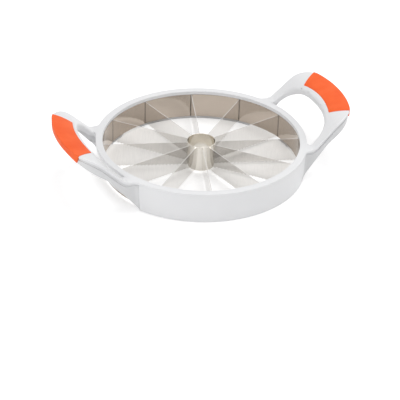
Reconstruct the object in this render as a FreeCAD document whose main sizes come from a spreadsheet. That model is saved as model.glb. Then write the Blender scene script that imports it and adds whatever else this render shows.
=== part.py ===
import FreeCAD, Part
import math
import os
import Sketcher

# A push-down melon wedger: two plastic mouldings clamp a steel hoop that carries twelve
# serrated blades and a core tube, and two loop handles rise from the ring's sides.
# The origin is on the base plane at the ring's centre, X runs through both handles, Z is up.

doc = FreeCAD.newDocument("melon_wedger")

# Driving dimensions in millimetres and degrees
DIMENSIONS = {
    "rim_height": 39.0,
    "rim_radius": 129.2,
    "rim_foot_radius": 127.5,
    "bore_radius": 120.0,
    "wall": 2.4,
    "plate": 3.0,
    "rim_skirt": 4.7,
    "skirt_wall": 2.0,
    "ledge": 3.0,
    "backing_radius": 121.9,
    "backing_wall": 2.0,
    "root_fillet": 7.0,
    "tip_reach": 181.4,
    "tip_radius": 150.0,
    "corner_radius": 31.0,
    "corner_start": 17.5,
    "corner_end": 84.0,
    "reveal": 1.2,
    "rebate_width": 5.5,
    "rebate_height": 4.0,
    "groove_inset": 2.3,
    "groove_height": 2.0,
    "hole_reach": 153.8,
    "hole_corner_radius": 19.0,
    "hole_corner_start": 17.6,
    "hole_rim_radius": 128.3,
    "hole_skirt": 6.5,
    "rise_start": 119.5,
    "rise_angle": 43.5,
    "rise_radius": 12.0,
    "crown_start": 143.0,
    "crown_radius": 53.1,
    "crown_end": -6.0,
    "web_foot": 103.0,
    "web_angle": 49.3,
    "knee_reach": 139.9,
    "knee_radius": 30.0,
    "under_angle": 33.3,
    "under_end": 172.0,
    "under_radius": 40.0,
    "under_tip_angle": 12.0,
    "grip_reach": 156.8,
    "grip_half_angle": 15.5,
    "grip_end_angle": 30.6,
    "grip_end_run": 26.0,
    "grip_skin": 1.8,
    "grip_side": 2.4,
    "grip_proud": 0.4,
    "grip_lean": 23.0,
    "grip_level": 75.0,
    "steel": 0.7,
    "band_wall": 0.6,
    "blade_count": 12,
    "tube_radius": 17.7,
    "tube_wall": 0.8,
    "tube_above": 1.6,
    "tooth_pitch": 6.2,
    "tooth_depth": 0.9,
    "tab_height": 16.0,
    "tab_fold": 6.0,
    "tab_low": 11.0,
    "tooth_start": 4.6,
    "tooth_count": 16,
    "gap": 0.1,
    "arch_height": 8.0,
    "shank_radius": 1.45,
    "head_radius": 2.8,
    "head_height": 2.0,
    "root_screw_x": 118.0,
    "root_screw_y": 64.7,
    "root_seat": 25.0,
    "root_shank": 13.0,
    "grip_screw_x": 166.0,
    "grip_screw_y": 26.0,
    "grip_seat": 64.6,
    "grip_shank": 7.0,
}

sheet = doc.addObject("Spreadsheet::Sheet", "dims")
for row, (alias, value) in enumerate(DIMENSIONS.items(), start=1):
    sheet.set(f"A{row}", alias)
    sheet.set(f"B{row}", str(value))
    sheet.setAlias(f"B{row}", alias)
doc.recompute()


def bind(feature, **expressions):
    """Bind a feature's properties to the sheet."""
    for name, expression in expressions.items():
        feature.setExpression(name, expression)
    return feature


def value_of(expression):
    """The number that a sheet expression stands for."""
    result = sheet.evalExpression(expression)
    return float(getattr(result, "Value", result))


def side_edge(start, end, radius, turn):
    """A line from start to end, or the arc of that radius that turns left (1) or right (-1)."""
    if turn == 0:
        return Part.LineSegment(start, end)
    chord = end - start
    rise = math.sqrt(radius ** 2 - (chord.Length / 2) ** 2)
    normal = FreeCAD.Vector(-chord.y, chord.x, 0).normalize()
    centre = (start + end) / 2 + normal * rise * turn
    circle = Part.Circle(centre, FreeCAD.Vector(0, 0, 1), radius)
    first, last = (start, end) if turn > 0 else (end, start)
    first_angle = math.atan2(first.y - centre.y, first.x - centre.x)
    last_angle = math.atan2(last.y - centre.y, last.x - centre.x)
    return Part.ArcOfCircle(circle, first_angle, last_angle)


def pin(sketch, side, end, corner):
    """Hold one end of a side at a corner given as two sheet expressions."""
    for axis, expression in zip(("X", "Y"), corner):
        if expression == "0":
            line = -2 if axis == "X" else -1
            sketch.addConstraint(Sketcher.Constraint("PointOnObject", side, end, line))
            continue
        rule = Sketcher.Constraint(f"Distance{axis}", -1, 1, side, end, value_of(expression))
        index = sketch.addConstraint(rule)
        sketch.setExpression(f"Constraints[{index}]", expression)


def draw(sketch, corners, bends=None):
    """Draw a closed outline. A corner is two sheet expressions; bends maps a side's number to
    its radius expression and its turn, 1 for left and -1 for right. Other sides are straight."""
    bends = bends or {}
    first = sketch.GeometryCount
    points = [FreeCAD.Vector(value_of(x), value_of(y), 0) for x, y in corners]
    for side, start in enumerate(points):
        end = points[(side + 1) % len(points)]
        radius, turn = bends.get(side, ("0", 0))
        sketch.addGeometry(side_edge(start, end, value_of(radius), turn), False)
    for side, corner in enumerate(corners):
        turn = bends.get(side, ("0", 0))[1]
        following = (side + 1) % len(corners)
        following_turn = bends.get(following, ("0", 0))[1]
        starts, ends = (1, 2) if turn >= 0 else (2, 1)
        meets = 1 if following_turn >= 0 else 2
        joint = (first + side, ends, first + following, meets)
        sketch.addConstraint(Sketcher.Constraint("Coincident", *joint))
        pin(sketch, first + side, starts, corner)
        if turn:
            radius = bends[side][0]
            rule = Sketcher.Constraint("Radius", first + side, value_of(radius))
            index = sketch.addConstraint(rule)
            sketch.setExpression(f"Constraints[{index}]", radius)
    return sketch


def flat_sketch(name, upright=False):
    """A free sketch on the base plane, or on the plane through both handles."""
    sketch = doc.addObject("Sketcher::SketchObject", name)
    if upright:
        turn = FreeCAD.Rotation(FreeCAD.Vector(1, 0, 0), 90)
        sketch.Placement = FreeCAD.Placement(FreeCAD.Vector(0, 0, 0), turn)
    return sketch


def prism(name, corners, bends, height):
    """Extrude a plan outline upwards from the base plane."""
    solid = doc.addObject("Part::Extrusion", name)
    solid.Base = draw(flat_sketch(f"{name}_plan"), corners, bends)
    solid.DirMode = "Normal"
    solid.Solid = True
    return bind(solid, LengthFwd=height)


def slab(name, corners, bends, width):
    """Extrude a side profile both ways from the plane through the handles."""
    solid = doc.addObject("Part::Extrusion", name)
    solid.Base = draw(flat_sketch(f"{name}_side", upright=True), corners, bends)
    solid.DirMode = "Normal"
    solid.Solid = True
    solid.Symmetric = True
    return bind(solid, LengthFwd=width)


def cylinder(name, radius, height, base="0", angle="360"):
    """A round bar about the ring's axis, or a slice of it that starts on the X axis."""
    bar = doc.addObject("Part::Cylinder", name)
    bind(bar, Radius=radius, Height=height, Angle=angle)
    return bind(bar, **{"Placement.Base.z": base})


def joined(name, *pieces):
    fusion = doc.addObject("Part::MultiFuse", name)
    fusion.Shapes = list(pieces)
    fusion.Refine = True
    return fusion


def shared(name, first, second):
    common = doc.addObject("Part::Common", name)
    common.Base, common.Tool = first, second
    return common


def trimmed(name, base, *tools):
    """Cut tools from a piece, one after the other."""
    for number, tool in enumerate(tools, start=1):
        cut = doc.addObject("Part::Cut", name if number == len(tools) else f"{name}_{number}")
        cut.Base, cut.Tool = base, tool
        cut.Refine = True
        base = cut
    return base


def mirrored(name, source, x=0, y=0):
    image = doc.addObject("Part::Mirroring", name)
    image.Source = source
    image.Normal = FreeCAD.Vector(x, y, 0)
    return image


def four_way(name, quarter):
    """Mirror a quarter across both upright planes and join the four."""
    half = joined(f"{name}_half", quarter, mirrored(f"{name}_back", quarter, y=1))
    return joined(name, half, mirrored(f"{name}_left", half, x=1))


def polar(centre, radius, angle):
    """The corner at an angle round a centre, as two sheet expressions."""
    x, y = centre
    return f"{x} + ({radius}) * cos({angle})", f"{y} + ({radius}) * sin({angle})"


def moved(corner, distance, angle):
    """The corner at a distance from another along an angle."""
    return polar(corner, distance, angle)


# Centres of the handle's tip and corner arcs, and of the finger hole's
TIP = ("(dims.tip_reach - dims.tip_radius)", "0")
TIP_STEP = "dims.tip_radius - dims.corner_radius"
CORNER = tuple(f"({part})" for part in polar(TIP, TIP_STEP, "dims.corner_start"))
HOLE_TIP = ("(dims.hole_reach - dims.tip_radius)", "0")
HOLE_STEP = "dims.tip_radius - dims.hole_corner_radius"
HOLE_CORNER = tuple(f"({part})" for part in polar(HOLE_TIP, HOLE_STEP, "dims.hole_corner_start"))

# Centre of the fillet where an arm's side runs into the ring, a slide along the arm away
# from the point that lies one fillet radius outside the corner arc's end
ARM_HEADING = "(dims.corner_end + 90)"
LIFT_RADIUS = "dims.corner_radius + dims.root_fillet"
LIFT = tuple(f"({part})" for part in polar(CORNER, LIFT_RADIUS, "dims.corner_end"))
ALONG = f"({LIFT[0]} * cos({ARM_HEADING}) + {LIFT[1]} * sin({ARM_HEADING}))"
ROOT_RING = "(dims.rim_radius + dims.root_fillet)"
SLIDE = f"(-{ALONG} - sqrt({ALONG}^2 - {LIFT[0]}^2 - {LIFT[1]}^2 + {ROOT_RING}^2))"
FILLET = tuple(f"({part})" for part in polar(LIFT, SLIDE, ARM_HEADING))
ROOT_ANGLE = f"atan({FILLET[1]} / {FILLET[0]})"

HEADROOM = "dims.rim_height * 3"
ACROSS = "dims.tip_reach"


def handle_plan(name, inset="0"):
    """Half of a handle's outline: a shallow tip arc, a corner arc, the straight arm and the
    fillet that leads it into the ring."""
    radius = f"dims.root_fillet + {inset}"
    landing = f"(dims.rim_radius - {inset}) / {ROOT_RING}"
    inside = f"dims.backing_radius / {ROOT_RING}"
    corners = [
        (f"dims.tip_reach - {inset}", "0"),
        polar(TIP, f"dims.tip_radius - {inset}", "dims.corner_start"),
        polar(CORNER, f"dims.corner_radius - {inset}", "dims.corner_end"),
        polar(FILLET, radius, "dims.corner_end + 180"),
        (f"{FILLET[0]} * {landing}", f"{FILLET[1]} * {landing}"),
        (f"{FILLET[0]} * {inside}", f"{FILLET[1]} * {inside}"),
        (f"{FILLET[0]} * {inside}", "0"),
    ]
    bends = {
        0: (f"dims.tip_radius - {inset}", 1),
        1: (f"dims.corner_radius - {inset}", 1),
        3: (radius, -1),
    }
    return prism(name, corners, bends, HEADROOM)


def hole_plan(name, grow="0"):
    """Half of the finger hole: it follows the tip, the arm and the ring's rim."""
    rim = f"(dims.hole_rim_radius - ({grow}))"
    side = f"({HOLE_CORNER[1]} + dims.hole_corner_radius + {grow})"
    corners = [
        (f"dims.hole_reach + {grow}", "0"),
        polar(HOLE_TIP, f"dims.tip_radius + {grow}", "dims.hole_corner_start"),
        (HOLE_CORNER[0], side),
        (f"sqrt({rim}^2 - {side}^2)", side),
        (rim, "0"),
    ]
    bends = {
        0: (f"dims.tip_radius + {grow}", 1),
        1: (f"dims.hole_corner_radius + {grow}", 1),
        3: (rim, -1),
    }
    return prism(name, corners, bends, HEADROOM)


def top_line(drop="0"):
    """The handle's top from the rim outwards, lowered square to itself: a rise bend, a ramp
    and a crown."""
    bend_x = "(dims.rise_start - dims.rise_radius * tan(dims.rise_angle / 2))"
    bend = (bend_x, "(dims.rim_height + dims.rise_radius)")
    climb = "(dims.crown_start - dims.rise_start) * tan(dims.rise_angle)"
    crown = (
        "(dims.crown_start + dims.crown_radius * sin(dims.rise_angle))",
        f"(dims.rim_height + {climb} - dims.crown_radius * cos(dims.rise_angle))",
    )
    return [
        ("dims.bore_radius * 3 / 4", f"dims.rim_height - ({drop})"),
        (bend_x, f"dims.rim_height - ({drop})"),
        polar(bend, f"dims.rise_radius + {drop}", "dims.rise_angle - 90"),
        polar(crown, f"dims.crown_radius - ({drop})", "dims.rise_angle + 90"),
        polar(crown, f"dims.crown_radius - ({drop})", "dims.crown_end + 90"),
    ]


def top_bends(drop, first, outwards=True):
    """The two arcs of the top line, numbered from its first side, drawn outwards or back."""
    rise = f"dims.rise_radius + {drop}"
    crown = f"dims.crown_radius - ({drop})"
    if outwards:
        return {first + 1: (rise, 1), first + 3: (crown, -1)}
    return {first: (crown, 1), first + 2: (rise, -1)}


def under_line():
    """The webs' lower edge and the handle's underside, from the base plane outwards."""
    knee_height = "(dims.knee_reach - dims.web_foot) * tan(dims.web_angle)"
    knee = ("dims.knee_reach", f"{knee_height}")
    half_turn = "(dims.web_angle - dims.under_angle) / 2"
    reach = f"dims.knee_radius * tan({half_turn})"
    run = "(dims.under_end - dims.knee_reach) * tan(dims.under_angle)"
    end = ("dims.under_end", f"{knee_height} + {run}")
    centre = tuple(f"({part})" for part in polar(end, "dims.under_radius", "dims.under_angle - 90"))
    return [
        ("dims.web_foot", "0"),
        polar(knee, f"-({reach})", "dims.web_angle"),
        polar(knee, reach, "dims.under_angle"),
        end,
        polar(centre, "dims.under_radius", "dims.under_tip_angle + 90"),
    ]


def layer(name, top_drop, bottom_drop):
    """The slab between two lowered copies of the handle's top."""
    corners = top_line(bottom_drop) + top_line(top_drop)[::-1]
    bends = top_bends(bottom_drop, 0) | top_bends(top_drop, 5, outwards=False)
    return slab(name, corners, bends, ACROSS)


def underbody(name, top_drop):
    """The slab from the underside up to a lowered copy of the handle's top."""
    inner = "dims.bore_radius * 3 / 4"
    corners = [(inner, "0")] + under_line() + top_line(top_drop)[::-1]
    bends = {2: ("dims.knee_radius", -1), 4: ("dims.under_radius", -1)}
    bends |= top_bends(top_drop, 6, outwards=False)
    return slab(name, corners, bends, ACROSS)


def ring_slice(name, outer, inner, foot, height, taper="0"):
    """The stretch of a ring between the arms, a quarter turn less the root's angle; its wall
    draws in by the taper towards the foot."""
    span = f"90 deg - {ROOT_ANGLE}"
    parts = []
    for role, radius in (("outside", outer), ("inside", inner)):
        cone = doc.addObject("Part::Cone", f"{name}_{role}")
        cone.Placement = FreeCAD.Placement(
            FreeCAD.Vector(), FreeCAD.Rotation(FreeCAD.Vector(0, 0, 1), 1)
        )
        bind(cone, Radius1=f"{radius} - ({taper})", Radius2=radius, Height=height, Angle=span)
        bind(cone, **{"Placement.Base.z": foot, "Placement.Rotation.Angle": ROOT_ANGLE})
        parts.append(cone)
    return trimmed(name, *parts)


def screw_place(name, radius, foot, height, where):
    """An eight-sided bar at the root screw or the grip screw of the right handle's far arm."""
    bar = doc.addObject("Part::Prism", name)
    bar.Polygon = 8
    return bind(bar, Circumradius=radius, Height=height, **{
        "Placement.Base.x": f"dims.{where}_screw_x",
        "Placement.Base.y": f"dims.{where}_screw_y",
        "Placement.Base.z": foot,
    })


# Right handle, far half: outlines, finger hole and the room that the grip takes
handle_outline = handle_plan("handle_outline")
web_outline = handle_plan("web_outline", inset="dims.reveal")
finger_hole = hole_plan("finger_hole")
hole_wall_outline = hole_plan("hole_wall_outline", grow="dims.skirt_wall")
core_outline = handle_plan("core_outline", inset="dims.grip_side")
grip_outline = handle_plan("grip_outline", inset="-dims.grip_proud")

GRIP_ARC = ("(dims.grip_reach - dims.tip_radius)", "0")
grip_corner = polar(GRIP_ARC, "dims.tip_radius", "dims.grip_half_angle")
grip_end = moved(grip_corner, "dims.grip_end_run", "dims.grip_end_angle")
beyond = "dims.tip_reach + dims.plate"
lean = "dims.grip_level * tan(dims.grip_lean)"
footprint_corners = [
    ("dims.grip_reach", f"-({lean} + dims.plate)"),
    (grip_corner[0], f"{grip_corner[1]} - {lean}"),
    (grip_end[0], f"{grip_end[1]} - {lean}"),
    (beyond, f"{grip_end[1]} - {lean}"),
    (beyond, f"-({lean} + dims.plate)"),
]
grip_footprint = prism("grip_footprint", footprint_corners, {0: ("dims.tip_radius", 1)}, HEADROOM)
grip_footprint.DirMode = "Custom"
grip_footprint.Dir = FreeCAD.Vector(0, math.tan(math.radians(value_of("dims.grip_lean"))), 1)
core = shared("grip_core", core_outline, underbody("core_body", "dims.grip_skin"))
grip_room = trimmed("grip_room", grip_footprint, core)
grip_hull = shared("grip_hull", grip_outline, underbody("grip_body", "-dims.grip_proud"))
grip_half = shared("grip_half", grip_room, grip_hull)

# Upper moulding: rim, outer wall, handle tops and finger hole walls
above_rim = cylinder("above_rim", "dims.rim_radius", HEADROOM, "dims.rim_height", "90")
plate_slab = shared("plate_slab", handle_outline, layer("plate_layer", "0", "dims.plate"))
plate = trimmed("plate", plate_slab, above_rim)
wall_layer = layer("wall_layer", "dims.plate / 2", "dims.hole_skirt")
within_rim = cylinder("within_rim", "dims.rim_radius", HEADROOM, angle="90")
arm_wall_slab = shared("arm_wall_slab", hole_wall_outline, wall_layer)
arm_wall = trimmed("arm_wall", arm_wall_slab, within_rim)
rim_band = cylinder(
    "rim_band",
    "dims.rim_radius",
    "dims.hole_skirt - dims.plate / 2",
    "dims.rim_height - dims.hole_skirt",
    "90",
)
rim_wall = shared("rim_wall", hole_wall_outline, rim_band)
rim = cylinder("rim", "dims.rim_radius", "dims.plate", "dims.rim_height - dims.plate", "90")
rim_skirt = cylinder(
    "rim_skirt",
    "dims.bore_radius + dims.skirt_wall",
    "dims.rim_skirt",
    "dims.rim_height - dims.rim_skirt",
    "90",
)
outer_wall = ring_slice(
    "outer_wall",
    "dims.rim_radius",
    "dims.rim_radius - dims.wall",
    "0",
    "dims.rim_height",
    "dims.rim_radius - dims.rim_foot_radius",
)
bore = cylinder("bore", "dims.bore_radius", HEADROOM, angle="90")
pilots = [
    screw_place(f"{where}_pilot", "dims.shank_radius", foot, f"dims.{where}_shank", where)
    for where, foot in (("root", "dims.root_seat"), ("grip", "dims.grip_seat"))
]
top_parts = [plate, rim, rim_skirt, outer_wall, arm_wall, rim_wall]
top_solid = joined("top_solid", *top_parts)
top_quarter = trimmed("top_quarter", top_solid, bore, finger_hole, grip_room, *pilots)
top_frame = four_way("top_frame", top_quarter)

# Lower moulding: ledge and backing wall of the ring, webs and undersides of the handles
under_rim = cylinder(
    "under_rim", "dims.rim_radius", HEADROOM, "dims.rim_height - dims.plate", "90"
)
handle_slab = shared("handle_slab", web_outline, underbody("web_body", "dims.plate"))
groove_layer = layer("groove_layer", "dims.plate - dims.gap", "dims.plate + dims.groove_height")
groove = trimmed("groove", groove_layer, handle_plan("groove_outline", inset="dims.groove_inset"))
handle_body = trimmed("handle_body", handle_slab, under_rim, groove)
hole_clearance = hole_plan("hole_clearance", grow="dims.skirt_wall + dims.gap")
rebate_outline = hole_plan("rebate_outline", grow="dims.rebate_width")
rebate_roof = underbody("rebate_roof", "-dims.rebate_height")
bind(rebate_roof, **{"Placement.Base.z": "dims.rebate_height"})
rebate = trimmed("rebate", rebate_outline, rebate_roof)
backing = cylinder(
    "backing",
    "dims.backing_radius + dims.backing_wall",
    "dims.rim_height - dims.plate",
    angle="90",
)
arch_corners = [
    ("dims.web_foot", "0"),
    ("dims.web_foot + dims.arch_height / tan(dims.web_angle)", "dims.arch_height"),
    (beyond, "dims.arch_height"),
    (beyond, "0"),
]
arch = slab("arch", arch_corners, {}, ACROSS)
ledge = ring_slice(
    "ledge", "dims.rim_foot_radius - dims.wall - dims.gap", "dims.bore_radius", "0", "dims.ledge"
)
wall_room = ring_slice(
    "wall_room", "dims.rim_radius + dims.plate", "dims.rim_foot_radius - dims.wall", "0", HEADROOM
)
backing_bore = cylinder("backing_bore", "dims.backing_radius", HEADROOM, angle="90")
passages = [
    screw_place(f"{where}_passage", "dims.shank_radius + dims.gap", "0", HEADROOM, where)
    for where in ("root", "grip")
]
counterbores = [
    screw_place(f"{where}_counterbore", "dims.head_radius + dims.gap", "0", seat, where)
    for where, seat in (("root", "dims.root_seat"), ("grip", "dims.grip_seat"))
]
handle_part = trimmed("handle_part", handle_body, hole_clearance, rebate, grip_room, wall_room)
handle_drilled = trimmed("handle_drilled", handle_part, *passages, *counterbores)
ring_part = trimmed("ring_part", backing, arch)
carrier = trimmed("carrier", joined("carrier_solid", handle_drilled, ring_part), backing_bore)
bottom_quarter = joined("bottom_quarter", carrier, ledge)
bottom_frame = four_way("bottom_frame", bottom_quarter)

# Soft grips
right_grip = joined("right_grip", grip_half, mirrored("grip_near_half", grip_half, y=1))
left_grip = mirrored("left_grip", right_grip, x=1)
doc.recompute()


def screws(name, where):
    """Four pan-head screws driven up from below, one at each mirror image of the place."""
    seat = f"dims.{where}_seat"
    head = screw_place(
        f"{name}_head", "dims.head_radius", f"{seat} - dims.head_height", "dims.head_height", where
    )
    shank = screw_place(f"{name}_shank", "dims.shank_radius", seat, f"dims.{where}_shank", where)
    return four_way(name, joined(f"{name}_one", head, shank))


root_screws = screws("root_screws", "root")
grip_screws = screws("grip_screws", "grip")


def origin_plane(body, role):
    """One of a body's own origin planes or axes."""
    return next(item for item in body.Origin.OriginFeatures if item.Role == role)


def body_sketch(body, name, role="XZ_Plane"):
    sketch = body.newObject("Sketcher::SketchObject", name)
    sketch.AttachmentSupport = [(origin_plane(body, role), "")]
    sketch.MapMode = "FlatFace"
    doc.recompute()
    return sketch


def rectangle(left, right, low, high):
    return [(left, low), (right, low), (right, high), (left, high)]


BLADE_FOOT = "(dims.ledge + dims.gap)"
BLADE_TOP = "(dims.rim_height - dims.rim_skirt)"
BAND_OUTSIDE = "(dims.bore_radius + dims.band_wall)"
FOLD_INSIDE = "(dims.bore_radius + dims.band_wall + dims.gap / 2)"
TAB_LOW = "dims.tab_low"
TAB_HIGH = "(dims.tab_low + dims.tab_height)"
SCALLOP_MIDDLE = "(dims.tube_radius + dims.tooth_start)"


def blade(number):
    """A flat blade with a scalloped edge and a tab through the hoop, folded flat behind it."""
    body = doc.addObject("PartDesign::Body", f"blade_{number:02d}")
    outer = f"{FOLD_INSIDE} + dims.steel"
    outline = [("dims.tube_radius", BLADE_FOOT), ("dims.bore_radius", BLADE_FOOT)]
    outline += [("dims.bore_radius", TAB_LOW), (outer, TAB_LOW)]
    outline += [(outer, TAB_HIGH), ("dims.bore_radius", TAB_HIGH)]
    outline += [("dims.bore_radius", BLADE_TOP), ("dims.tube_radius", BLADE_TOP)]
    plate_pad = body.newObject("PartDesign::Pad", f"blade_plate_{number:02d}")
    plate_pad.Profile = draw(body_sketch(body, f"blade_outline_{number:02d}"), outline)
    plate_pad.SideType = "Symmetric"
    bind(plate_pad, Length="dims.steel")
    doc.recompute()
    fold = body.newObject("PartDesign::Pad", f"blade_fold_{number:02d}")
    folds = body_sketch(body, f"fold_outline_{number:02d}")
    fold.Profile = draw(folds, rectangle(FOLD_INSIDE, outer, TAB_LOW, TAB_HIGH))
    bind(fold, Length="dims.tab_fold")
    doc.recompute()
    scallop = body.newObject("PartDesign::Pocket", f"blade_scallop_{number:02d}")
    scallops = body_sketch(body, f"scallop_outline_{number:02d}")
    low, high = f"{BLADE_FOOT} - dims.tooth_depth", f"{BLADE_FOOT} + dims.tooth_depth"
    corners = [(f"{SCALLOP_MIDDLE} - dims.tooth_pitch", low)]
    corners += [(f"{SCALLOP_MIDDLE} + dims.tooth_pitch", low), (SCALLOP_MIDDLE, high)]
    scallop.Profile = draw(scallops, corners)
    scallop.Type = "ThroughAll"
    scallop.SideType = "Symmetric"
    doc.recompute()
    teeth = body.newObject("PartDesign::LinearPattern", f"blade_teeth_{number:02d}")
    teeth.Originals = [scallop]
    teeth.Direction = (scallops, ["H_Axis"])
    bind(teeth, Occurrences="dims.tooth_count", Length="dims.tooth_pitch * (dims.tooth_count - 1)")
    body.Tip = teeth
    turn = f"(({number} - 1) + 0.5) * 360 / dims.blade_count"
    body.Placement = FreeCAD.Placement(
        FreeCAD.Vector(), FreeCAD.Rotation(FreeCAD.Vector(0, 0, 1), 1)
    )
    return bind(body, **{"Placement.Rotation.Angle": turn})


def turned(body, name, profile):
    """Turn a section round the ring's axis."""
    ring = body.newObject("PartDesign::Revolution", f"{name}_turned")
    ring.Profile = draw(body_sketch(body, f"{name}_section"), profile)
    ring.ReferenceAxis = (ring.Profile[0], ["V_Axis"])
    ring.Angle = 360
    doc.recompute()
    return ring


def slotted_hoop(name, profile):
    """The turned hoop with a slot for each blade's tab."""
    body = doc.addObject("PartDesign::Body", name)
    turned(body, name, profile)
    slot = body.newObject("PartDesign::Pocket", f"{name}_slot")
    half = "(dims.steel / 2 + dims.gap / 2)"
    low, high = f"{TAB_LOW} - dims.gap / 2", f"{TAB_HIGH} + dims.gap / 2"
    opening = rectangle(f"-{half}", half, low, high)
    slot.Profile = draw(body_sketch(body, f"{name}_opening", "YZ_Plane"), opening)
    slot.Reversed = True
    bind(slot, Length=f"{BAND_OUTSIDE} + dims.plate")
    doc.recompute()
    ring = body.newObject("PartDesign::PolarPattern", f"{name}_slots")
    ring.Originals = [slot]
    ring.Axis = (origin_plane(body, "Z_Axis"), [""])
    ring.Angle = 360
    bind(ring, Occurrences="dims.blade_count")
    body.Tip = ring
    body.Placement = FreeCAD.Placement(
        FreeCAD.Vector(), FreeCAD.Rotation(FreeCAD.Vector(0, 0, 1), 1)
    )
    return bind(body, **{"Placement.Rotation.Angle": "180 / dims.blade_count"})


# Steel cartridge: hoop, core tube and blades
hoop_section = rectangle("dims.bore_radius", BAND_OUTSIDE, "dims.ledge", BLADE_TOP)
blade_band = slotted_hoop("blade_band", hoop_section)
TUBE_INSIDE = "dims.tube_radius - dims.tube_wall"
TUBE_TOP = f"{BLADE_TOP} + dims.tube_above"
tube_section = rectangle(TUBE_INSIDE, "dims.tube_radius", BLADE_FOOT, TUBE_TOP)
core_tube = doc.addObject("PartDesign::Body", "core_tube")
turned(core_tube, "core_tube", tube_section)
blades = [blade(number) for number in range(1, int(DIMENSIONS["blade_count"]) + 1)]
doc.recompute()

# Check every object and write one file for each piece
PIECES = [top_frame, bottom_frame, left_grip, right_grip, blade_band, core_tube]
PIECES += blades + [root_screws, grip_screws]
for item in doc.Objects:
    if {"Invalid", "Error"} & set(item.State):
        raise RuntimeError(f"{item.Name} failed: {item.State}")
os.makedirs("parts", exist_ok=True)
for piece in PIECES:
    piece.Label = piece.Name
    shape = piece.Shape
    if shape.isNull() or not shape.isValid():
        raise RuntimeError(f"{piece.Name} has no valid shape")
    shape.exportStep(f"parts/{piece.Name}.step")
    print(piece.Name, len(shape.Solids), "solids", round(shape.Volume), "mm3")
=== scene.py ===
import math

import bpy
from mathutils import Matrix
from mathutils.bvhtree import BVHTree


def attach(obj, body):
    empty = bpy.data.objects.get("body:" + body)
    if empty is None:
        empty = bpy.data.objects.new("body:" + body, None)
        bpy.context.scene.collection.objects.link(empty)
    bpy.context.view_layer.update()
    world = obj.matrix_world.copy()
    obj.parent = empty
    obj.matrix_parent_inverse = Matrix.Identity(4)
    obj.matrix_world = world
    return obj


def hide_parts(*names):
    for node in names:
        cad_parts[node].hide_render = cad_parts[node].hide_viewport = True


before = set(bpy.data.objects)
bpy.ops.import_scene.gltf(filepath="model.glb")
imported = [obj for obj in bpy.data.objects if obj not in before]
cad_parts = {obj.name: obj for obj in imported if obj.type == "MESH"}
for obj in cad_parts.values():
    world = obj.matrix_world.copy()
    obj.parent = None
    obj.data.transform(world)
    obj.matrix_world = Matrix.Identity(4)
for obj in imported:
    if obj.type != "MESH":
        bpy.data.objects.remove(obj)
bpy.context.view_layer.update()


# The camera looks down on the wedger from the front left through a long lens,
# so the ring shows as a wide, even ellipse with the far handle a little smaller.
lens = bpy.data.cameras.new("studio_camera")
lens.sensor_width = 36.0
lens.lens = 142.8
camera = bpy.data.objects.new("studio_camera", lens)
camera.location = (-0.62553, -1.54989, 1.00333)
camera.rotation_euler = (math.radians(57.7765), math.radians(-1.4639), math.radians(-21.0774))
bpy.context.scene.collection.objects.link(camera)
bpy.context.scene.camera = camera
bpy.context.scene.view_settings.view_transform = "Standard"


# The studio floor is a wide sheet of pale matt paper under the wedger.
# The lens and the polished steel see it as white, apart from the soft shadow that falls on it.
def node_tree(material):
    """The shader and the empty tree of a new material."""
    material.use_nodes = True
    tree = material.node_tree
    return tree, tree.nodes["Principled BSDF"]


def seen_directly(tree):
    """1 where the lens, a polished surface or glass sees it, 0 for soft light."""
    path = tree.nodes.new("ShaderNodeLightPath")
    both = tree.nodes.new("ShaderNodeMath")
    both.operation = "MAXIMUM"
    tree.links.new(path.outputs["Is Camera Ray"], both.inputs[0])
    tree.links.new(path.outputs["Is Glossy Ray"], both.inputs[1])
    all_three = tree.nodes.new("ShaderNodeMath")
    all_three.operation = "MAXIMUM"
    tree.links.new(both.outputs[0], all_three.inputs[0])
    tree.links.new(path.outputs["Is Transmission Ray"], all_three.inputs[1])
    return all_three.outputs[0]


bpy.ops.object.select_all(action="DESELECT")
bpy.ops.mesh.primitive_plane_add(size=12.0, location=(0, 0, -0.0002))
floor = bpy.context.object
floor.name = "studio_floor"
paper = bpy.data.materials.new("pale_paper")
tree, shader = node_tree(paper)
shader.inputs["Base Color"].default_value = (0.80, 0.80, 0.80, 1)
shader.inputs["Roughness"].default_value = 0.9
shader.inputs["Specular IOR Level"].default_value = 0.1
glow = tree.nodes.new("ShaderNodeEmission")
lift = tree.nodes.new("ShaderNodeMath")
lift.operation = "MULTIPLY"
lift.inputs[1].default_value = 0.42
tree.links.new(seen_directly(tree), lift.inputs[0])
tree.links.new(lift.outputs[0], glow.inputs["Strength"])
total = tree.nodes.new("ShaderNodeAddShader")
tree.links.new(shader.outputs[0], total.inputs[0])
tree.links.new(glow.outputs[0], total.inputs[1])
tree.links.new(total.outputs[0], tree.nodes["Material Output"].inputs["Surface"])
floor.data.materials.append(paper)


# The backdrop is plain white to the lens and in the steel's reflections, and a dimmer even
# light for the rest. Three soft boxes light the wedger: the largest and strongest hangs
# above it, and two smaller ones stand in front of it, at the left and at the right.
world = bpy.data.worlds.new("white_backdrop")
bpy.context.scene.world = world
world.use_nodes = True
tree = world.node_tree
backdrop = tree.nodes["Background"]
backdrop.inputs["Color"].default_value = (1, 1, 1, 1)
level = tree.nodes.new("ShaderNodeMapRange")
level.inputs["To Min"].default_value = 0.52
level.inputs["To Max"].default_value = 1.0
tree.links.new(seen_directly(tree), level.inputs["Value"])
tree.links.new(level.outputs["Result"], backdrop.inputs["Strength"])


def soft_box(name, place, size, power):
    """A square lamp aimed at the middle of the ring."""
    lamp = bpy.data.lights.new(name, "AREA")
    lamp.shape = "SQUARE"
    lamp.size = size
    lamp.energy = power
    holder = bpy.data.objects.new(name, lamp)
    holder.location = place
    holder.rotation_mode = "QUATERNION"
    holder.rotation_quaternion = holder.location.to_track_quat("Z", "Y")
    bpy.context.scene.collection.objects.link(holder)


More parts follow.
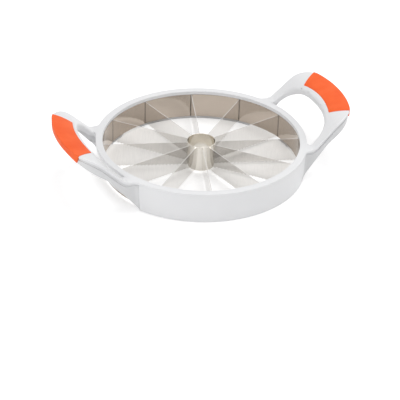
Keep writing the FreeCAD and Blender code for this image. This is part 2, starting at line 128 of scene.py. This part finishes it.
soft_box("right_soft_box", (1.9, -0.9, 1.2), 1.1, 12.0)
soft_box("left_soft_box", (-1.8, -1.25, 0.85), 1.1, 17.0)
soft_box("top_soft_box", (0.5, 0.3, 2.2), 1.4, 19.0)


# The upper moulding is the white ring's rim with its two raised loop handles, one shot of
# satin ABS. It drops over the lower moulding and its edges are rounded by the mould.
def mould_white(name, grain, seed, low, high):
    """White ABS: a fine spark-eroded grain, faint flow in its colour and a satin gloss."""
    material = bpy.data.materials.new(name)
    tree, shader = node_tree(material)
    place = tree.nodes.new("ShaderNodeTexCoord")
    shift = tree.nodes.new("ShaderNodeMapping")
    shift.inputs["Location"].default_value = (seed, seed * 0.7, seed * 0.3)
    tree.links.new(place.outputs["Object"], shift.inputs["Vector"])
    flow = tree.nodes.new("ShaderNodeTexNoise")
    flow.inputs["Scale"].default_value = 22.0
    flow.inputs["Detail"].default_value = 3.0
    tree.links.new(shift.outputs["Vector"], flow.inputs["Vector"])
    tint = tree.nodes.new("ShaderNodeValToRGB")
    tint.color_ramp.elements[0].position = 0.3
    tint.color_ramp.elements[0].color = (low, low * 1.004, low * 1.02, 1)
    tint.color_ramp.elements[1].position = 0.7
    tint.color_ramp.elements[1].color = (high, high * 1.001, high * 1.01, 1)
    tree.links.new(flow.outputs["Fac"], tint.inputs["Fac"])
    tree.links.new(tint.outputs["Color"], shader.inputs["Base Color"])
    speckle = tree.nodes.new("ShaderNodeTexNoise")
    speckle.inputs["Scale"].default_value = grain
    speckle.inputs["Detail"].default_value = 2.0
    tree.links.new(shift.outputs["Vector"], speckle.inputs["Vector"])
    gloss = tree.nodes.new("ShaderNodeMapRange")
    gloss.inputs["From Min"].default_value = 0.3
    gloss.inputs["From Max"].default_value = 0.7
    gloss.inputs["To Min"].default_value = 0.30
    gloss.inputs["To Max"].default_value = 0.42
    tree.links.new(speckle.outputs["Fac"], gloss.inputs["Value"])
    tree.links.new(gloss.outputs["Result"], shader.inputs["Roughness"])
    skin = tree.nodes.new("ShaderNodeBump")
    skin.inputs["Strength"].default_value = 0.18
    skin.inputs["Distance"].default_value = 0.00004
    tree.links.new(speckle.outputs["Fac"], skin.inputs["Height"])
    tree.links.new(skin.outputs["Normal"], shader.inputs["Normal"])
    return material


def only(piece):
    """Select one object and make it the active one."""
    bpy.ops.object.select_all(action="DESELECT")
    piece.select_set(True)
    bpy.context.view_layer.objects.active = piece


def solid_copy(node, name):
    """The node's own outline as one welded skin, ready for its rounded edges."""
    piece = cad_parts[node].copy()
    piece.data = piece.data.copy()
    piece.name = name
    piece.parent = None
    piece.matrix_world.identity()
    bpy.context.scene.collection.objects.link(piece)
    only(piece)
    bpy.ops.object.mode_set(mode="EDIT")
    bpy.ops.mesh.select_all(action="SELECT")
    bpy.ops.mesh.customdata_custom_splitnormals_clear()
    bpy.ops.mesh.remove_doubles(threshold=0.00001)
    bpy.ops.object.mode_set(mode="OBJECT")
    return piece


def skin_of(piece):
    """The piece's surface as it is now, to measure from."""
    points = [point.co.copy() for point in piece.data.vertices]
    return BVHTree.FromPolygons(points, [tuple(face.vertices) for face in piece.data.polygons])


MERGE_REACH = 0.000004


def keep_close(piece, skin, reach):
    """Put each point that a bevel threw off a sharp corner back on the skin it came from.

    Points that meet there are merged, and faces that lost their area go.
    """
    for point in piece.data.vertices:
        spot, _, _, gap = skin.find_nearest(point.co)
        if gap > reach:
            point.co = spot
    only(piece)
    bpy.ops.object.mode_set(mode="EDIT")
    bpy.ops.mesh.select_all(action="SELECT")
    bpy.ops.mesh.remove_doubles(threshold=MERGE_REACH)
    bpy.ops.mesh.dissolve_degenerate(threshold=MERGE_REACH)
    bpy.ops.object.mode_set(mode="OBJECT")


EDGE_STRAY = 0.42


def soften(piece, width, steps=2, sharp=35):
    """Round every edge sharper than that many degrees and smooth the rest."""
    only(piece)
    before = skin_of(piece)
    edge = piece.modifiers.new("rounded_edges", "BEVEL")
    edge.limit_method = "ANGLE"
    edge.angle_limit = math.radians(sharp)
    edge.width = width
    edge.segments = steps
    edge.use_clamp_overlap = False
    edge.miter_outer = "MITER_ARC"
    bpy.ops.object.modifier_apply(modifier=edge.name)
    keep_close(piece, before, EDGE_STRAY * width)
    bpy.ops.object.shade_smooth_by_angle(angle=math.radians(sharp))
    flats = piece.modifiers.new("flat_faces_stay_flat", "WEIGHTED_NORMAL")
    flats.weight = 80
    flats.keep_sharp = True
    bpy.ops.object.modifier_apply(modifier=flats.name)


def finish_piece(piece, material, slot_name, *nodes):
    """Give a piece its one material and tie it to the frame."""
    piece.data.materials.clear()
    piece.data.materials.append(material)
    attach(piece, "root")
    if nodes:
        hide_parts(*nodes)


def pick_edges(piece, wanted):
    """In edit mode, select the edges whose middle and two faces answer the question."""
    only(piece)
    bpy.ops.object.mode_set(mode="EDIT")
    bpy.ops.mesh.select_mode(type="EDGE")
    bpy.ops.mesh.select_all(action="DESELECT")
    bpy.ops.object.mode_set(mode="OBJECT")
    sides = {}
    for face in piece.data.polygons:
        for key in face.edge_keys:
            sides.setdefault(key, []).append(face.normal)
    points = piece.data.vertices
    for edge in piece.data.edges:
        normals = sides.get(edge.key, [])
        middle = (points[edge.vertices[0]].co + points[edge.vertices[1]].co) / 2
        edge.select = len(normals) == 2 and wanted(middle, *sorted(normals, key=lambda n: -n.z))
    bpy.ops.object.mode_set(mode="EDIT")


HOLE_RIM = 0.1283
HOLE_NEAR_END = 0.113
HOLE_FAR_END = 0.155
HOLE_RING_SIDE = 0.1290
HOLE_TIP_SIDE = 0.14
HOLE_TIP_CENTRE = 0.0038
HOLE_TIP_RADIUS = 0.150
HOLE_CORNER = (0.12867, 0.03961)
HOLE_CORNER_RADIUS = 0.019
HOLE_MIDDLE = 0.1220
HOLE_HALF_LENGTH = 0.0290
HOLE_HALF_WIDTH = 0.0560
HOLE_BLUNT_END = 0.0120
WALL_SLACK = 0.00012


def on_hole_wall(p, slack=WALL_SLACK):
    """True for a point on the finger hole's wall: ring side, arm sides, corners or tip."""
    x, y = abs(p.x), abs(p.y)
    side = HOLE_CORNER[1] + HOLE_CORNER_RADIUS
    if not HOLE_NEAR_END < x < HOLE_FAR_END or y > side + slack:
        return False
    at_rim = x < HOLE_RING_SIDE and abs(math.hypot(x, y) - HOLE_RIM) < slack
    at_side = x < HOLE_CORNER[0] and abs(y - side) < slack
    reach = math.hypot(x - HOLE_CORNER[0], y - HOLE_CORNER[1])
    at_corner = x > HOLE_CORNER[0] and abs(reach - HOLE_CORNER_RADIUS) < slack
    tip_gap = abs(math.hypot(x - HOLE_TIP_CENTRE, y) - HOLE_TIP_RADIUS)
    at_tip = x > HOLE_TIP_SIDE and tip_gap < slack
    return at_rim or at_side or at_corner or at_tip


RIM_TOP = 0.0390
HANDLE_RISE = math.radians(43.5)
HANDLE_ROOT = 0.1195
ROOT_BEND = 0.0120
RAMP_RUN = 0.0235
CROWN_START = 0.1430
CROWN_RADIUS = 0.0531


def handle_top(x):
    """The height of the handle's top at a distance from the ring's axis."""
    bend_x = HANDLE_ROOT - ROOT_BEND * math.tan(HANDLE_RISE / 2)
    ramp_x = bend_x + ROOT_BEND * math.sin(HANDLE_RISE)
    if x <= bend_x:
        return RIM_TOP
    if x <= ramp_x:
        return RIM_TOP + ROOT_BEND - math.sqrt(ROOT_BEND ** 2 - (x - bend_x) ** 2)
    if x <= CROWN_START:
        return RIM_TOP + (x - HANDLE_ROOT) * math.tan(HANDLE_RISE)
    crown_x = CROWN_START + CROWN_RADIUS * math.sin(HANDLE_RISE)
    crown_z = RIM_TOP + RAMP_RUN * math.tan(HANDLE_RISE) - CROWN_RADIUS * math.cos(HANDLE_RISE)
    return crown_z + math.sqrt(CROWN_RADIUS ** 2 - (x - crown_x) ** 2)


OVAL_POWER = 2.4
RIM_SQUEEZE = 0.903
TIP_SQUEEZE = 29.0 / 31.8
BLUNT_SQUEEZE = 5.0 / 7.9


def oval_width(part):
    """The soft oval's half width, at a part of the way from its middle to its end."""
    return HOLE_HALF_WIDTH * (1 - part ** OVAL_POWER) ** (1 / OVAL_POWER)


def closer_in(p):
    """Where a point of the hole's wall goes so that the hole gets its soft oval outline."""
    x, y = abs(p.x), abs(p.y)
    if x < HOLE_RING_SIDE and abs(math.hypot(x, y) - HOLE_RIM) < WALL_SLACK:
        turn = RIM_SQUEEZE * math.asin(y / HOLE_RIM)
        new_x, new_y = HOLE_RIM * math.cos(turn), HOLE_RIM * math.sin(turn)
    else:
        squeeze = TIP_SQUEEZE if x > HOLE_MIDDLE else BLUNT_SQUEEZE
        half = HOLE_HALF_LENGTH if x > HOLE_MIDDLE else HOLE_BLUNT_END
        new_x = HOLE_MIDDLE + (x - HOLE_MIDDLE) * squeeze
        part = min(1.0, abs(new_x - HOLE_MIDDLE) / half)
        new_y = oval_width(part)
    lift = handle_top(new_x) - handle_top(x)
    return (math.copysign(new_x, p.x), math.copysign(new_y, p.y), p.z + lift)


GRIP_ARC_CENTRE = 0.0068
GRIP_ARC_RADIUS = 0.150
GRIP_ARC_SLACK = 0.0006
GRIP_HALF_LENGTH = 0.056


def at_grip(p):
    """True along the edge where the handle's skin meets the grip's inner side."""
    gap = abs(math.hypot(abs(p.x) - GRIP_ARC_CENTRE, p.y) - GRIP_ARC_RADIUS)
    return gap < GRIP_ARC_SLACK and abs(p.y) < GRIP_HALF_LENGTH


OUTLINE_SLACK = 0.001
HOLE_TIP_LIMIT = 0.1525


def by_the_hole(p):
    """True for a place on the hole's new outline."""
    x, y = abs(p.x), abs(p.y)
    if x < HOLE_MIDDLE:
        return y < HOLE_HALF_WIDTH + OUTLINE_SLACK
    part = min(1.0, (x - HOLE_MIDDLE) / HOLE_HALF_LENGTH)
    return y < oval_width(part) + OUTLINE_SLACK and x < HOLE_TIP_LIMIT


HOLE_ROUNDING = 0.0030
OUTER_ROUNDING = 0.0012
ROUNDING_STRAY = 0.7
OUTSIDE_RING = 0.1305
ABOVE_RIM = 0.0395


def on_handle_edge(p, top, side):
    """True for an edge of the handle's top, where it turns down into an upright wall."""
    return (math.hypot(p.x, p.y) > OUTSIDE_RING and p.z > ABOVE_RIM
            and top.z > 0.6 and abs(side.z) < 0.1 and not at_grip(p))


white_upper = mould_white("white_abs_upper", 1500.0, 1.0, 0.775, 0.800)
upper = solid_copy("top_frame", "upper_moulding")
for point in upper.data.vertices:
    if on_hole_wall(point.co):
        point.co = closer_in(point.co)
for inner, radius in ((True, HOLE_ROUNDING), (False, OUTER_ROUNDING)):
    before = skin_of(upper)
    pick_edges(upper, lambda p, top, side: (
        on_handle_edge(p, top, side) and by_the_hole(p) == inner))
    bpy.ops.mesh.bevel(offset=radius, segments=4, affect="EDGES", clamp_overlap=False)
    bpy.ops.object.mode_set(mode="OBJECT")
    keep_close(upper, before, ROUNDING_STRAY * radius)
soften(upper, 0.0006)
finish_piece(upper, white_upper, "white_plastic", "top_frame")


# The lower moulding is the deep wall's inner half and the handles' undersides.
# It carries the steel cartridge on its ledge and is screwed up into the upper moulding.
GROOVE_START = 0.1310
GROOVE_FLOOR = 0.0050
GROOVE_SLACK = 0.00008
GROOVE_DEEPER = 0.0014
TOP_LINE_STEP = 0.0005
TOP_LINE_STEPS = range(220, 370)


def below_top(p):
    """How far a point is under the handle's top, square to it."""
    near = (TOP_LINE_STEP * step for step in TOP_LINE_STEPS)
    return min(math.hypot(abs(p.x) - x, p.z - handle_top(x)) for x in near)


# The lower moulding's white is the same ABS as the upper's, painted darker: painted shade for the
# webs recessed under the handles' top plates.
white_lower_painted_shade = mould_white("white_abs_lower_painted_shade", 1500.0, 4.0, 0.670, 0.695)
lower = solid_copy("bottom_frame", "lower_moulding")
for point in lower.data.vertices:
    if math.hypot(point.co.x, point.co.y) > GROOVE_START:
        if abs(below_top(point.co) - GROOVE_FLOOR) < GROOVE_SLACK:
            point.co.z -= GROOVE_DEEPER
soften(lower, 0.0005)
finish_piece(lower, white_lower_painted_shade, "white_plastic", "bottom_frame")


# The two grips are orange soft-touch rubber, moulded over the crown of each handle.
# They stand a little proud, with a rounded edge and a fine matt grain.
def soft_rubber(name, seed):
    """Orange thermoplastic rubber with a fine matt grain and a soft edge sheen."""
    material = bpy.data.materials.new(name)
    tree, shader = node_tree(material)
    place = tree.nodes.new("ShaderNodeTexCoord")
    shift = tree.nodes.new("ShaderNodeMapping")
    shift.inputs["Location"].default_value = (seed, 0.2 * seed, 0.5)
    tree.links.new(place.outputs["Object"], shift.inputs["Vector"])
    cloud = tree.nodes.new("ShaderNodeTexNoise")
    cloud.inputs["Scale"].default_value = 60.0
    cloud.inputs["Detail"].default_value = 4.0
    tree.links.new(shift.outputs["Vector"], cloud.inputs["Vector"])
    tint = tree.nodes.new("ShaderNodeValToRGB")
    tint.color_ramp.elements[0].position = 0.3
    tint.color_ramp.elements[0].color = (0.90, 0.112, 0.018, 1)
    tint.color_ramp.elements[1].position = 0.7
    tint.color_ramp.elements[1].color = (0.95, 0.145, 0.032, 1)
    tree.links.new(cloud.outputs["Fac"], tint.inputs["Fac"])
    tree.links.new(tint.outputs["Color"], shader.inputs["Base Color"])
    grain = tree.nodes.new("ShaderNodeTexNoise")
    grain.inputs["Scale"].default_value = 2200.0
    grain.inputs["Detail"].default_value = 2.0
    tree.links.new(shift.outputs["Vector"], grain.inputs["Vector"])
    gloss = tree.nodes.new("ShaderNodeMapRange")
    gloss.inputs["To Min"].default_value = 0.48
    gloss.inputs["To Max"].default_value = 0.66
    tree.links.new(grain.outputs["Fac"], gloss.inputs["Value"])
    tree.links.new(gloss.outputs["Result"], shader.inputs["Roughness"])
    skin = tree.nodes.new("ShaderNodeBump")
    skin.inputs["Strength"].default_value = 0.35
    skin.inputs["Distance"].default_value = 0.00006
    tree.links.new(grain.outputs["Fac"], skin.inputs["Height"])
    tree.links.new(skin.outputs["Normal"], shader.inputs["Normal"])
    shader.inputs["Specular IOR Level"].default_value = 0.22
    shader.inputs["Sheen Weight"].default_value = 0.03
    return material


orange = soft_rubber("orange_soft_rubber", 2.0)
for side in ("left", "right"):
    grip = solid_copy(f"{side}_grip", f"{side}_soft_grip")
    soften(grip, 0.0006)
    finish_piece(grip, orange, "grip_rubber", f"{side}_grip")


# The hoop is one strip of stainless steel, 0.6 mm thick, rolled to a ring and welded.
# It sits on the lower moulding's ledge, and each blade's tab passes through a slot in it.
BORE_RADIUS = 0.1200
BAND_WALL = 0.0006
BAND_FOOT = 0.0030
BAND_TOP = 0.0343
TAB_FOOT = 0.0110
TAB_TOP = 0.0270
BLADE_THICK = 0.0007
SLOT_ROOM = 0.0001
PUNCH_LENGTH = 0.004
BLADES = 12
BLADE_TURN = 30
HALF_TURN = 15


def polished_steel(name, colour, stretch, rough_low, rough_high, seed):
    """Rolled stainless steel: drawn grain along the strip, and a bright polish."""
    material = bpy.data.materials.new(name)
    tree, shader = node_tree(material)
    place = tree.nodes.new("ShaderNodeTexCoord")
    shift = tree.nodes.new("ShaderNodeMapping")
    shift.inputs["Location"].default_value = (seed, seed, 0.0)
    shift.inputs["Scale"].default_value = stretch
    tree.links.new(place.outputs["Object"], shift.inputs["Vector"])
    drawn = tree.nodes.new("ShaderNodeTexNoise")
    drawn.inputs["Scale"].default_value = 90.0
    drawn.inputs["Detail"].default_value = 4.0
    tree.links.new(shift.outputs["Vector"], drawn.inputs["Vector"])
    tint = tree.nodes.new("ShaderNodeValToRGB")
    tint.color_ramp.elements[0].position = 0.25
    tint.color_ramp.elements[0].color = tuple(0.93 * part for part in colour) + (1,)
    tint.color_ramp.elements[1].position = 0.75
    tint.color_ramp.elements[1].color = tuple(colour) + (1,)
    tree.links.new(drawn.outputs["Fac"], tint.inputs["Fac"])
    tree.links.new(tint.outputs["Color"], shader.inputs["Base Color"])
    gloss = tree.nodes.new("ShaderNodeMapRange")
    gloss.inputs["From Min"].default_value = 0.3
    gloss.inputs["From Max"].default_value = 0.7
    gloss.inputs["To Min"].default_value = rough_low
    gloss.inputs["To Max"].default_value = rough_high
    tree.links.new(drawn.outputs["Fac"], gloss.inputs["Value"])
    tree.links.new(gloss.outputs["Result"], shader.inputs["Roughness"])
    lines = tree.nodes.new("ShaderNodeBump")
    lines.inputs["Strength"].default_value = 0.05
    lines.inputs["Distance"].default_value = 0.00003
    tree.links.new(drawn.outputs["Fac"], lines.inputs["Height"])
    tree.links.new(lines.outputs["Normal"], shader.inputs["Normal"])
    shader.inputs["Metallic"].default_value = 1.0
    return material


def painted_joint_shade(tree, width_low, width_high, dark):
    """Painted shade: a multiplier that is dark at each blade's joint and 1 from the larger width
    on.
    """
    place = tree.nodes.new("ShaderNodeTexCoord")
    axes = tree.nodes.new("ShaderNodeSeparateXYZ")
    tree.links.new(place.outputs["Object"], axes.inputs[0])
    turn = tree.nodes.new("ShaderNodeMath")
    turn.operation = "ARCTAN2"
    tree.links.new(axes.outputs["Y"], turn.inputs[0])
    tree.links.new(axes.outputs["X"], turn.inputs[1])
    shifted = tree.nodes.new("ShaderNodeMath")
    shifted.operation = "ADD"
    shifted.inputs[1].default_value = math.radians(360 + HALF_TURN)
    tree.links.new(turn.outputs[0], shifted.inputs[0])
    away = tree.nodes.new("ShaderNodeMath")
    away.operation = "PINGPONG"
    away.inputs[1].default_value = math.radians(HALF_TURN)
    tree.links.new(shifted.outputs[0], away.inputs[0])
    fade = tree.nodes.new("ShaderNodeMapRange")
    fade.inputs["From Min"].default_value = width_low / BORE_RADIUS
    fade.inputs["From Max"].default_value = width_high / BORE_RADIUS
    fade.inputs["To Min"].default_value = dark
    fade.inputs["To Max"].default_value = 1.0
    tree.links.new(away.outputs[0], fade.inputs["Value"])
    return fade.outputs["Result"]


bpy.ops.object.select_all(action="DESELECT")
bpy.ops.mesh.primitive_cylinder_add(
    vertices=192, radius=BORE_RADIUS, depth=BAND_TOP - BAND_FOOT, end_fill_type="NOTHING",
    location=(0, 0, (BAND_TOP + BAND_FOOT) / 2),
)
hoop = bpy.context.object
hoop.name = "hoop_steel_strip"
bpy.ops.object.transform_apply(location=True, rotation=True, scale=True)
strip_wall = hoop.modifiers.new("strip_wall", "SOLIDIFY")
strip_wall.thickness = BAND_WALL
strip_wall.offset = 1
bpy.ops.object.modifier_apply(modifier=strip_wall.name)
bpy.ops.object.select_all(action="DESELECT")
bpy.ops.mesh.primitive_cube_add(
    size=1.0, location=(BORE_RADIUS, 0, (TAB_TOP + TAB_FOOT) / 2),
    scale=(PUNCH_LENGTH, BLADE_THICK + SLOT_ROOM, TAB_TOP - TAB_FOOT + SLOT_ROOM),
)
punch = bpy.context.object
bpy.ops.object.transform_apply(location=True, rotation=True, scale=True)
for number in range(BLADES):
    only(punch)
    punch.rotation_euler = (0, 0, math.radians(HALF_TURN if number == 0 else BLADE_TURN))
    bpy.ops.object.transform_apply(location=True, rotation=True, scale=True)
    slot_cut = hoop.modifiers.new(f"slot_{number}", "BOOLEAN")
    slot_cut.operation = "DIFFERENCE"
    slot_cut.object = punch
    only(hoop)
    bpy.ops.object.modifier_apply(modifier=slot_cut.name)
bpy.data.objects.remove(punch)
soften(hoop, 0.00012, steps=1, sharp=50)
# The hoop's colour is darker and browner than the other stainless parts': painted reflection and
# shade, standing in for a dark brown surround mirrored in the strip.
hoop_steel_painted_light = polished_steel("hoop_steel_painted_light", (0.475, 0.41, 0.35), (1, 1, 14), 0.10, 0.17, 3.0)
tree = hoop_steel_painted_light.node_tree
shader = tree.nodes["Principled BSDF"]
tinted = shader.inputs["Base Color"].links[0].from_socket
# The hoop's colour is multiplied by painted shade at every blade's joint, on both faces of the
# strip and at every height.
joint = tree.nodes.new("ShaderNodeMix")
joint.data_type = "RGBA"
joint.blend_type = "MULTIPLY"
joint.inputs["Factor"].default_value = 1.0
tree.links.new(tinted, joint.inputs[6])
tree.links.new(painted_joint_shade(tree, 0.0006, 0.0015, 0.35), joint.inputs[7])
tree.links.new(joint.outputs[2], shader.inputs["Base Color"])
finish_piece(hoop, hoop_steel_painted_light, "stainless", "blade_band")


# The core tube is a short length of drawn stainless tube, ground to an edge at its foot.
# The blades are welded to it all round, and its bright upper rim stands above them.
TUBE_RADIUS = 0.0177
TUBE_WALL = 0.0008
TUBE_FOOT = 0.0031
TUBE_TOP = 0.0359
TUBE_EDGE = 0.0026
GROUND_EDGE = 0.00008
POINT_SLACK = 0.0001
bpy.ops.object.select_all(action="DESELECT")
bpy.ops.mesh.primitive_cylinder_add(
    vertices=96, radius=TUBE_RADIUS, depth=TUBE_TOP - TUBE_FOOT, end_fill_type="NOTHING",
    location=(0, 0, (TUBE_TOP + TUBE_FOOT) / 2),
)
tube = bpy.context.object
tube.name = "core_tube_steel"
bpy.ops.object.transform_apply(location=True, rotation=True, scale=True)
bpy.ops.object.mode_set(mode="EDIT")
bpy.ops.mesh.select_all(action="SELECT")
bpy.ops.mesh.bisect(plane_co=(0, 0, TUBE_FOOT + TUBE_EDGE), plane_no=(0, 0, 1))
bpy.ops.object.mode_set(mode="OBJECT")


def pick_points(piece, wanted):
    """In edit mode, select only the points of a piece that answer the question."""
    only(piece)
    bpy.ops.object.mode_set(mode="EDIT")
    bpy.ops.mesh.select_mode(type="VERT")
    bpy.ops.mesh.select_all(action="DESELECT")
    bpy.ops.object.mode_set(mode="OBJECT")
    for point in piece.data.vertices:
        point.select = wanted(point.co)
    bpy.ops.object.mode_set(mode="EDIT")


wall = tube.modifiers.new("tube_wall", "SOLIDIFY")
wall.thickness = TUBE_WALL
wall.offset = -1
only(tube)
bpy.ops.object.modifier_apply(modifier=wall.name)
pick_points(tube, lambda p: (
    p.z < TUBE_FOOT + POINT_SLACK and math.hypot(p.x, p.y) > TUBE_RADIUS - 0.0003))
shrink = (TUBE_RADIUS - TUBE_WALL + GROUND_EDGE) / TUBE_RADIUS
bpy.ops.transform.resize(value=(shrink, shrink, 1), center_override=(0, 0, TUBE_FOOT))
bpy.ops.object.mode_set(mode="OBJECT")
soften(tube, 0.00015, steps=2, sharp=50)
tube_steel = polished_steel("tube_steel", (0.77, 0.735, 0.675), (1, 1, 14), 0.10, 0.17, 6.0)
finish_piece(tube, tube_steel, "stainless", "core_tube")


# Each blade is a flat stainless strip with its lower edge bevelled on both sides and ground
# into round scallops. Its tab goes through the hoop and is folded flat behind it.
BLADE_FOOT = 0.0031
BLADE_TOP = 0.0343
BEVEL_HEIGHT = 0.0026
EDGE_THICK = 0.00014
SCALLOP_PITCH = 0.0044
SCALLOP_DEPTH = 0.0015
SCALLOPS = 22
FIRST_SCALLOP = TUBE_RADIUS + 0.0048
FOLD_INSIDE = 0.1207
FOLD_LENGTH = 0.0060
FOLD_BEND = 0.00015
BLADE_START = TUBE_RADIUS - 0.0002
bpy.ops.object.select_all(action="DESELECT")
bpy.ops.mesh.primitive_cube_add(
    size=1.0, location=((BLADE_START + BORE_RADIUS) / 2, 0, (BLADE_TOP + BLADE_FOOT) / 2),
    scale=(BORE_RADIUS - BLADE_START, BLADE_THICK, BLADE_TOP - BLADE_FOOT),
)
blade = bpy.context.object
blade.name = "blade_pattern"
bpy.ops.object.transform_apply(location=True, rotation=True, scale=True)
bpy.ops.object.mode_set(mode="EDIT")
for height in (BLADE_FOOT + BEVEL_HEIGHT, TAB_FOOT, TAB_TOP):
    bpy.ops.mesh.select_all(action="SELECT")
    bpy.ops.mesh.bisect(plane_co=(0, 0, height), plane_no=(0, 0, 1))
bpy.ops.object.mode_set(mode="OBJECT")
pick_points(blade, lambda p: p.z < BLADE_FOOT + POINT_SLACK)
bpy.ops.transform.resize(value=(1, EDGE_THICK / BLADE_THICK, 1), center_override=(0, 0, BLADE_FOOT))
bpy.ops.object.mode_set(mode="OBJECT")
pick_points(blade, lambda p: (
    p.x > BORE_RADIUS - POINT_SLACK and TAB_FOOT - POINT_SLACK < p.z < TAB_TOP + POINT_SLACK))
bpy.ops.mesh.extrude_region_move(
    TRANSFORM_OT_translate={"value": (FOLD_INSIDE - FOLD_BEND - BORE_RADIUS, 0, 0)}
)
bend_axis = (FOLD_INSIDE - FOLD_BEND, BLADE_THICK / 2 + FOLD_BEND, 0)
bpy.ops.mesh.spin(steps=6, angle=math.radians(-90), center=bend_axis, axis=(0, 0, 1))
bpy.ops.mesh.extrude_region_move(
    TRANSFORM_OT_translate={"value": (0, FOLD_LENGTH - bend_axis[1], 0)}
)
bpy.ops.mesh.select_all(action="SELECT")
bpy.ops.mesh.normals_make_consistent(inside=False)
bpy.ops.object.mode_set(mode="OBJECT")

scallop_radius = (SCALLOP_PITCH ** 2 / 4 + SCALLOP_DEPTH ** 2) / (2 * SCALLOP_DEPTH)
bpy.ops.object.select_all(action="DESELECT")
bpy.ops.mesh.primitive_cylinder_add(
    vertices=72, radius=scallop_radius, depth=0.004, rotation=(math.radians(90), 0, 0),
    location=(FIRST_SCALLOP, 0, BLADE_FOOT + SCALLOP_DEPTH - scallop_radius),
)
grinder = bpy.context.object
bpy.ops.object.transform_apply(location=True, rotation=True, scale=True)
for step in range(SCALLOPS):
    cut = blade.modifiers.new(f"scallop_{step}", "BOOLEAN")
    cut.operation = "DIFFERENCE"
    cut.object = grinder
    only(blade)
    bpy.ops.object.modifier_apply(modifier=cut.name)
    grinder.data.transform(Matrix.Translation((SCALLOP_PITCH, 0, 0)))
bpy.data.objects.remove(grinder)
only(blade)
bpy.ops.object.shade_smooth_by_angle(angle=math.radians(25))
blade_steel = polished_steel("blade_steel", (0.76, 0.745, 0.725), (10, 10, 1), 0.035, 0.075, 9.0)
for number in range(1, BLADES + 1):
    strip = blade.copy()
    strip.data = blade.data.copy()
    strip.name = f"blade_steel_{number:02d}"
    bpy.context.scene.collection.objects.link(strip)
    only(strip)
    strip.rotation_euler = (0, 0, math.radians((number - 0.5) * BLADE_TURN))
    bpy.ops.object.transform_apply(location=True, rotation=True, scale=True)
    finish_piece(strip, blade_steel, "stainless", f"blade_{number:02d}")
bpy.data.objects.remove(blade)


# Eight small stainless pan-head screws are driven up from below with a cross-head driver:
# four hold the two mouldings together at the arms' roots, and four hold the grips.
HEAD_RADIUS = 0.0028
HEAD_HEIGHT = 0.0020
SHANK_RADIUS = 0.00145
SCREW_POINT = 0.0006
HEAD_CROWN = 0.0011
RECESS_SIZE = (0.0034, 0.0007, 0.0026)
screw_steel = polished_steel("screw_steel", (0.62, 0.61, 0.59), (1, 1, 1), 0.22, 0.32, 12.0)
for group, across, along, seat, shank_length in (
    ("root_screws", 0.1180, 0.0647, 0.0250, 0.0130),
    ("grip_screws", 0.1660, 0.0260, 0.0646, 0.0070),
):
    bpy.ops.object.select_all(action="DESELECT")
    bpy.ops.mesh.primitive_cylinder_add(
        vertices=32, radius=HEAD_RADIUS, depth=HEAD_HEIGHT, location=(0, 0, seat - HEAD_HEIGHT / 2)
    )
    screw = bpy.context.object
    screw.name = f"{group}_steel"
    bpy.ops.object.transform_apply(location=True, rotation=True, scale=True)
    bpy.ops.object.mode_set(mode="EDIT")
    bpy.ops.mesh.select_mode(type="FACE")
    bpy.ops.mesh.select_all(action="DESELECT")
    bpy.ops.object.mode_set(mode="OBJECT")
    for face in screw.data.polygons:
        face.select = face.normal.z > 0.9
    bpy.ops.object.mode_set(mode="EDIT")
    bpy.ops.mesh.inset(thickness=HEAD_RADIUS - SHANK_RADIUS)
    for rise in (shank_length - SCREW_POINT, SCREW_POINT):
        bpy.ops.mesh.extrude_region_move(TRANSFORM_OT_translate={"value": (0, 0, rise)})
    bpy.ops.transform.resize(value=(0.6, 0.6, 1), center_override=(0, 0, seat))
    bpy.ops.object.mode_set(mode="OBJECT")
    pick_points(screw, lambda p: p.z < seat - HEAD_HEIGHT + POINT_SLACK)
    bpy.ops.mesh.bevel(offset=HEAD_CROWN, segments=4, affect="EDGES")
    bpy.ops.object.mode_set(mode="OBJECT")
    for turn in (0, 90):
        bpy.ops.object.select_all(action="DESELECT")
        bpy.ops.mesh.primitive_cube_add(
            size=1.0, location=(0, 0, seat - HEAD_HEIGHT), scale=RECESS_SIZE,
            rotation=(0, 0, math.radians(turn)),
        )
        driver = bpy.context.object
        bpy.ops.object.transform_apply(location=True, rotation=True, scale=True)
        recess = screw.modifiers.new("cross_recess", "BOOLEAN")
        recess.operation = "DIFFERENCE"
        recess.object = driver
        only(screw)
        bpy.ops.object.modifier_apply(modifier=recess.name)
        bpy.data.objects.remove(driver)
    bpy.ops.object.shade_smooth_by_angle(angle=math.radians(35))
    set_of_four = []
    for side in (-1, 1):
        for depth in (-1, 1):
            one = screw.copy()
            one.data = screw.data.copy()
            one.data.transform(Matrix.Translation((side * across, depth * along, 0)))
            bpy.context.scene.collection.objects.link(one)
            set_of_four.append(one)
    bpy.data.objects.remove(screw)
    bpy.ops.object.select_all(action="DESELECT")
    for one in set_of_four:
        one.select_set(True)
    bpy.context.view_layer.objects.active = set_of_four[0]
    bpy.ops.object.join()
    set_of_four[0].name = f"{group}_steel"
    finish_piece(set_of_four[0], screw_steel, "stainless", group)
